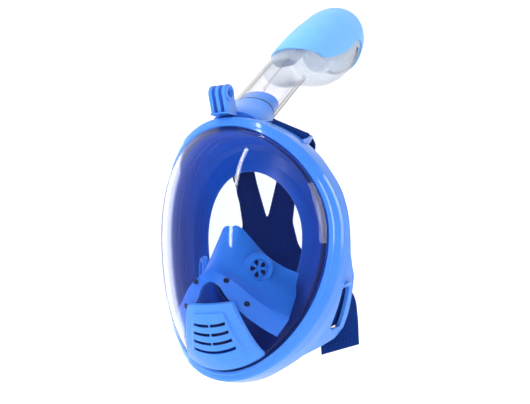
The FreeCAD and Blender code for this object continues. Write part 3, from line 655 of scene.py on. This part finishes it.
def stitches(name, rows, material, body, slot):
    """Rows of raised thread stitches; each row is (points, normal) in drawing millimetres."""
    verts, faces = [], []
    for line, normal in rows:
        lengths = [0.0]
        for a, b in zip(line, line[1:]):
            lengths.append(lengths[-1] + (b - a).length)
        at = STITCH_PITCH / 2
        while at + STITCH_LENGTH / 2 < lengths[-1]:
            k = max(bisect.bisect_right(lengths, at) - 1, 0)
            k = min(k, len(line) - 2)
            span = line[k + 1] - line[k]
            along = span.normalized()
            middle = line[k] + along * (at - lengths[k])
            across = along.cross(normal).normalized()
            base = len(verts)
            for t in (-1.0, -0.6, 0.0, 0.6, 1.0):
                bulge = math.sqrt(max(1 - t * t, 0.02))
                for ring in range(THREAD_SIDES):
                    a = math.pi / 3 * ring
                    high = THREAD_HALF_HEIGHT * bulge * math.sin(a) + THREAD_LIFT
                    verts.append(middle + along * (t * STITCH_LENGTH / 2)
                                 + across * (THREAD_HALF_WIDTH * bulge * math.cos(a)) + normal * high)
            for j in range(4):
                low = base + j * THREAD_SIDES
                high = low + THREAD_SIDES
                for ring in range(THREAD_SIDES):
                    r2 = (ring + 1) % THREAD_SIDES
                    faces.append((low + ring, low + r2, high + r2, high + ring))
            at += STITCH_PITCH
    piece(name, verts, faces, material, body, slot, sharp=0)


def lower_stations():
    loop = loop_round(LOWER_PIN, (-1, 0, -0.3))
    lead = [station(43.6, PAD_MIDDLE, -32.6, (0.58, 0, 0.82), (0, 1, 0)),
            station(56, 76, -40, (0.5, 0.05, 0.87), (0.1, 1, 0)),
            station(67, 71, -46, (0.4, 0, 0.92), (0.6, 0.8, 0))]
    tail = [station(74.4, 69.5, -50, (0.40, -0.1, 0.91), (-0.9, 0.1, 0.4)),
            station(72.5, 77, -56, (0.55, 0.15, 0.82), (-0.8, 0.4, 0.4)),
            station(68, 80.5, -66, (0.75, 0.4, 0.52), (-0.55, 0.8, 0.2)),
            station(66, 81.5, -76, (0.84, 0.48, 0.25), (-0.5, 0.86, 0)),
            station(66, 82, -87, (0.84, 0.48, 0.25), (-0.5, 0.86, 0))]
    return smooth_stations(lead + loop + tail, 5)


def upper_stations():
    loop = loop_round(UPPER_PIN, (-0.45, 0, -0.89))
    lead = [station(26.4, PAD_MIDDLE, 82.2, (-0.97, 0, 0.25), (0, 1, 0)),
            station(29.5, 71, 87.5, (-0.95, 0, 0.3), (0, 0.8, 0.6)),
            station(36, 57, 93, (-0.88, -0.1, 0.45), (0, 0.5, 0.85))]
    back = [station(44, 53.5, 99.5, (-0.82, -0.3, 0.5), (0, -0.4, -0.9)),
            station(38, 66, 92, (-0.88, -0.1, 0.45), (0, -0.7, -0.7))]
    return smooth_stations(lead + loop + back, 5)


def make_straps():
    """The four straps, each sewn across near both of its ends."""
    for name, side in SIDES:
        for which, line in (("lower_strap_", lower_stations()), ("upper_strap_", upper_stations())):
            strap_mesh(which + name + "_webbing", line, side, which + name)
            rows = []
            for end in (2, 5, len(line) - 4, len(line) - 7):
                middle, w, d = line[end]
                for face in (1, -1):
                    reach = w * (STRAP_WIDTH / 2 - STITCH_INSET)
                    row = [middle + reach * t + d * face * STRAP_THICKNESS * 0.42
                           for t in (-1, -0.5, 0, 0.5, 1)]
                    rows.append(([Vector((side * p.x, p.y, p.z)) for p in row],
                                 Vector((side * d.x, d.y, d.z)) * face))
            stitches(which + name + "_stitching", rows, THREAD, "mask", "webbing")


def inset_outline(outline, reach):
    """The closed outline moved inward by reach, along each corner's mean normal."""
    count = len(outline)
    area = sum(outline[i - 1].x * outline[i].y - outline[i].x * outline[i - 1].y for i in range(count))
    turn = 1 if area > 0 else -1
    moved = []
    for i, p in enumerate(outline):
        along = (outline[(i + 1) % count] - outline[i - 1]).normalized()
        moved.append(p + Vector((-along.y, along.x)) * turn * reach)
    return moved


def make_pad():
    """Quilted neoprene back pad with a bound edge and a sewn line inside it."""
    corners = list(PAD_HALF) + [(-x, z, r) for x, z, r in PAD_HALF[-2:0:-1]]
    outline = rounded(corners, 6)
    dense = []
    for i, p in enumerate(outline):
        q = outline[(i + 1) % len(outline)]
        cuts = max(int((q - p).length / PAD_SPAN), 1)
        dense += [p.lerp(q, k / cuts) for k in range(cuts)]
    steps = [(inset, h) for inset, h in reversed(PAD_EDGE)] + [(inset, -h) for inset, h in PAD_EDGE]
    loops = [[(q.x, PAD_MIDDLE + h, q.y) for q in inset_outline(dense, inset)] for inset, h in steps]
    verts, faces = loft(loops)
    rows, n = len(loops), len(dense)
    for row in (0, rows - 1):
        flat = [Vector((verts[row * n + i][0], verts[row * n + i][2], 0)) for i in range(n)]
        faces += [tuple(row * n + k for k in tri) for tri in tessellate_polygon([flat])]
    uvs = [(v[0], v[2]) for v in verts]
    pad = piece("harness_pad", verts, faces, NAVY_PAD, "mask", "webbing",
                replaces=("harness_back_pad",), sharp=0, uvs=uvs)


# --- silicone: face skirt and nose pocket -------------------------------------------------
EGG_STEPS = 200
# sections of the skirt and the seal as (out from the lens edge, back from the wrap, corner radius)
SKIRT = ((-1.7, 5.5, 0.5), (4.8, 5.5, 0.6), (4.8, 8.9, 0.5), (1.6, 8.9, 0.6), (1.3, 20, 4), (-3, 35, 4),
         (-8, 43, 4), (-14, 45.6, 3), (-24, 45, 8), (-33.8, 42.7, 0.8), (-34, 40.9, 0.8), (-24, 43, 8),
         (-14.6, 43.3, 3), (-9.8, 41.2, 3), (-5.4, 34, 3), (-4.4, 31.5, 0.5),
         (-3.3, 31.2, 0.5), (-2.9, 22.5, 0.5),
         (-1.6, 22.0, 0.5), (-1.3, 19, 1))
# lines up the pocket, from its foot to its top edge, from the middle outward
POCKET = (((0, -26.0, -29), (0, -24.6, -21), (0, -16, -12), (0, -3, 3), (0, 11, 19.5)),
          ((8, -24.8, -33), (11, -23.4, -24), (10, -14, -18), (10, -3, -4), (8, 12, 18)),
          ((14, -22.0, -43), (23, -20.0, -32), (20, -8, -27), (18, 3, -11), (15.5, 18, 8)),
          ((24, -16.6, -55), (35, -13.0, -44), (31, 3, -33), (27.5, 9.6, -18), (25, 26, -6)),
          ((36, -6.4, -67), (46, -3.0, -54), (42, 16, -37), (38, 24, -27), (37, 34, -16)),
          ((45, 4.6, -75), (54, 8.6, -62), (52, 27, -42), (49, 34, -32), (49, 40, -22)))
POCKET_THICKNESS, POCKET_BEAD = 2.0, 0.2
FRONT_GAP, REAR_GAP = 0.2, 1.2      # the pocket's two faces behind the inside of the lens
LENS_SEAL = ((-2.65, -2.5, 0.2), (-3.35, -2.5, 0.2), (-3.35, 4.6, 0.2), (-2.65, 4.6, 0.2))
# How much further the skirt reaches in under the chin than its CAD piece does. Known fault: this
# lip stands up to 14 mm inside the mouth_space box, which the CAD piece keeps clear.
CHIN_RISE = 20.0
CHIN_START, CHIN_SPAN = -14.0, 20.0     # where across the skirt's section the rise sets in
CHEEK_VALVE = Vector((27.0, 9.0, -18.0))
CHEEK_NORMAL = Vector((0.75, -0.66, 0.0)).normalized()
CHEEK_HOLE_R, CHEEK_CUT_R, CHEEK_CUT_REACH = 9.7, 11.0, 14


def make_skirt():
    profile, loops = rounded(SKIRT, 4), []
    for i in range(EGG_STEPS):
        a = 2 * math.pi * i / EGG_STEPS
        rise = CHIN_RISE * max(0.0, -math.sin(a)) ** 3
        loops.append([egg_point(a, out - rise * min(1.0, max(0.0, (CHIN_START - out) / CHIN_SPAN)), back)
                      for out, back in profile])
    verts, faces = loft(loops, close_loops=True)
    piece("skirt", verts, faces, SKIRT_BLUE, "mask", "skirt_silicone", replaces=("face_skirt",),
          sharp=40)


def make_lens_seal():
    """Dark silicone lip against the inside of the lens's edge."""
    profile = rounded(LENS_SEAL, 3)
    loops = [[egg_point(2 * math.pi * i / EGG_STEPS, out, back) for out, back in profile]
             for i in range(EGG_STEPS)]
    verts, faces = loft(loops, close_loops=True)
    piece("lens_seal", verts, faces, SEAL_BLUE, "mask", "skirt_silicone")


def turned(profile, origin, z_axis, count=56):
    """Closed (radius, height) outline turned about an axis through origin."""
    z = Vector(z_axis).normalized()
    x = z.orthogonal().normalized()
    y = z.cross(x)
    loops = []
    for i in range(count):
        a = 2 * math.pi * i / count
        out = x * math.cos(a) + y * math.sin(a)
        loops.append([origin + out * r + z * h for r, h in profile])
    return loft(loops, close_loops=True)


def creased(points):
    """Line through points with small rounded corners at the leg band's edge and the crease."""
    smooth = catmull(points, 6)
    firm = [points[i].lerp(points[i + 1], k / 6) for i in range(len(points) - 1) for k in range(6)]
    firm.append(points[-1])
    share = [0.85] * 13 + [0.6, 0.35, 0.15] + [0.0] * 9
    return [a.lerp(b, t) for a, b, t in zip(smooth, firm, share)]


def make_pocket():
    """Nose pocket: a thick moulded sheet with a bead round its rim and a boss at each valve."""
    half = [[Vector(p) for p in line] for line in POCKET]
    lines = [[Vector((-p.x, p.y, p.z)) for p in line] for line in reversed(half[1:])] + half
    rows = [catmull([line[k] for line in lines], 8) for k in range(5)]
    columns = [creased([row[i] for row in rows]) for i in range(len(rows[0]))]
    n_cols, n_rows = len(columns), len(columns[0])

    def normal(i, j):
        along = columns[min(i + 1, n_cols - 1)][j] - columns[max(i - 1, 0)][j]
        up = columns[i][min(j + 1, n_rows - 1)] - columns[i][max(j - 1, 0)]
        return along.cross(up).normalized()
    front, back = [], []
    for i in range(n_cols):
        for j in range(n_rows):
            p, n = columns[i][j], normal(i, j)
            bead = POCKET_BEAD if j in (0, n_rows - 1) else 0.0
            limit = dome_y(p.x, p.z) + LENS_THICKNESS + FRONT_GAP
            front.append(Vector((p.x, max(p.y, limit), p.z)) + n * bead)
            q = p - n * (POCKET_THICKNESS + bead)
            limit = dome_y(q.x, q.z) + LENS_THICKNESS + REAR_GAP
            back.append(Vector((q.x, max(q.y, limit), q.z)))
    verts = front + back
    offset = len(front)
    faces = []
    for i in range(n_cols - 1):
        for j in range(n_rows - 1):
            a, b = i * n_rows + j, (i + 1) * n_rows + j
            faces.append((a, b, b + 1, a + 1))
            faces.append((a + offset, a + 1 + offset, b + 1 + offset, b + offset))
    for i in range(n_cols - 1):
        for j in (0, n_rows - 1):
            a, b = i * n_rows + j, (i + 1) * n_rows + j
            faces.append((a, a + offset, b + offset, b) if j == 0 else (a, b, b + offset, a + offset))
    for j in range(n_rows - 1):
        for i in (0, n_cols - 1):
            a = i * n_rows + j
            faces.append((a, a + 1, a + 1 + offset, a + offset))
    pocket = piece("nose_pocket", verts, faces, POCKET_BLUE, "mask", "pocket_silicone",
                   replaces=("inner_mask",))
    reach = CHEEK_CUT_REACH
    hole = [(0.01, -reach), (CHEEK_CUT_R, -reach), (CHEEK_CUT_R, reach), (0.01, reach)]
    boss = rounded(((CHEEK_HOLE_R, -3.0, 0.3), (12.6, -3.0, 0.5), (13.2, -0.6, 0.6), (12.4, 0.35, 0.4),
                    (CHEEK_HOLE_R, 0.35, 0.2)), 3)
    cutters, bosses = [], []
    for _, side in SIDES:
        origin = Vector((side * CHEEK_VALVE.x, CHEEK_VALVE.y, CHEEK_VALVE.z))
        axis = (side * CHEEK_NORMAL.x, CHEEK_NORMAL.y, 0)
        cutters.append(cutter_from(*turned(hole, origin, axis)))
        bosses.append(turned(boss, origin, axis))
    cut(pocket, cutters, 50)
    piece("nose_pocket_bosses", *join(bosses), POCKET_BLUE, "mask", "pocket_silicone")


# --- snorkel hood ------------------------------------------------------------------------
# sections up the head as (height, how far the middle sits back, half width, half depth)
HEAD = ((84.3, 0.5, 22.8, 15.2), (98, 3, 24, 18.6), (115, 6.5, 25.5, 23), (140, 13, 27.5, 29.5),
        (165, 18, 28.5, 33), (190, 20.5, 29, 32.6), (211, 21, 27, 29), (226, 20.5, 22, 22.5),
        (236, 19.5, 13.5, 14))
HEAD_FOOT, HEAD_SPANS, HEAD_AROUND, TOP_STEPS, TOP_RISE = 92, 46, 72, 8, 2.4
HOOD_WALL, HOOD_GAP = 1.6, 0.5
# side views of the lower edges of the hood and of the grey sheet inside it that paints the shade under
# the hood's rim, as (back, height)
HOOD_EDGE = ((-40, 100), (-21, 100), (-16.3, 101), (-11.8, 105), (-4.5, 112), (3.3, 118), (8, 126.5),
             (11.2, 136), (15.2, 148), (18.1, 161), (19.2, 175), (19.6, 187), (22.5, 197), (29, 202.5),
             (37, 200), (50, 197), (80, 196))
SHADE_SHEET_EDGE = ((-10, 108), (3.3, 116), (10, 123), (15, 134), (20.5, 148), (24, 161), (25.5, 175), (26, 187),
            (28, 193), (31, 195), (37, 192), (50, 190), (80, 190))


def head_rows(grow):
    """Rings up the snorkel head, offset by grow, from its foot to the rounded top."""
    a_line, b_line, m_line = ([(s[0], s[k]) for s in HEAD] for k in (2, 3, 1))
    rows = []
    for i in range(HEAD_SPANS + 1):
        t = HEAD_FOOT + (HEAD[-1][0] - HEAD_FOOT) * (i / HEAD_SPANS)
        rows.append((t, curve_at(m_line, t), curve_at(a_line, t) + grow, curve_at(b_line, t) + grow))
    top, middle, a, b = rows[-1]
    for k in range(1, TOP_STEPS):
        turn = math.pi / 2 * k / TOP_STEPS
        height = top + (TOP_RISE + grow * 0.8) * math.sin(turn)
        rows.append((height, middle, a * math.cos(turn), b * math.cos(turn)))
    around = [2 * math.pi * i / HEAD_AROUND for i in range(HEAD_AROUND)]
    return [[snorkel_point(a * math.cos(u), m + b * math.sin(u), t) for u in around]
            for t, m, a, b in rows]


def shell_piece(name, grow_out, grow_in, edge, material, slot, replaces=()):
    """A shell round the head between two offsets, trimmed along its lower edge."""
    outer, inner = head_rows(grow_out), head_rows(grow_in)
    verts, faces = loft(list(reversed(outer)) + inner, caps=(True, True))
    shell = piece(name, verts, faces, material, "snorkel", slot, replaces=replaces)
    line = catmull([Vector(p) for p in edge], 5)
    outline = [Vector((-60, edge[0][1])), Vector((-60, 60)), Vector((80, 60))]
    prism = [[snorkel_point(x, n, t) for n, t in line[::-1] + outline] for x in (-50, 50)]
    cut(shell, [cutter_from(*loft(prism, caps=(True, True)))], 40)


def make_hood():
    shell_piece("hood", HOOD_GAP + HOOD_WALL, HOOD_GAP, HOOD_EDGE, HOOD_BLUE, "blue_gloss",
                ("snorkel_cap",))
    # a thin grey sheet just inside the hood, showing below its edge and through the arch at its back:
    # painted shade under the hood's rim
    shell_piece("hood_painted_shade_sheet", HOOD_GAP - 0.1, HOOD_GAP - 0.4, SHADE_SHEET_EDGE, HOOD_SHADE_GREY, "grey_float")


# moulded lines along the tube as (x, back, start, end): its dividers' front edges, then two
# supposed parting lines
TUBE_LINES = ((-7.5, -12.3, 22, 83), (7.5, -12.3, 22, 83), (18.2, 9.1, 3, 83.5), (-18.2, 9.1, 3, 83.5))
TUBE_LINE_R, TUBE_LINE_SIDES = 0.28, 8


def make_tube_lines():
    parts = []
    for x, back, start, end in TUBE_LINES:
        rings = [[snorkel_point(x + TUBE_LINE_R * math.cos(a), back + TUBE_LINE_R * math.sin(a), t)
                  for a in [math.pi / 4 * i for i in range(TUBE_LINE_SIDES)]] for t in (start, end)]
        parts.append(loft(rings, caps=(True, True)))
    piece("tube_lines", *join(parts), TUBE_LINE, "snorkel", "clear_tube")


make_hood()
make_tube_lines()
make_straps()
make_pad()
make_skirt()
make_lens_seal()
make_pocket()

add_camera()
add_studio()
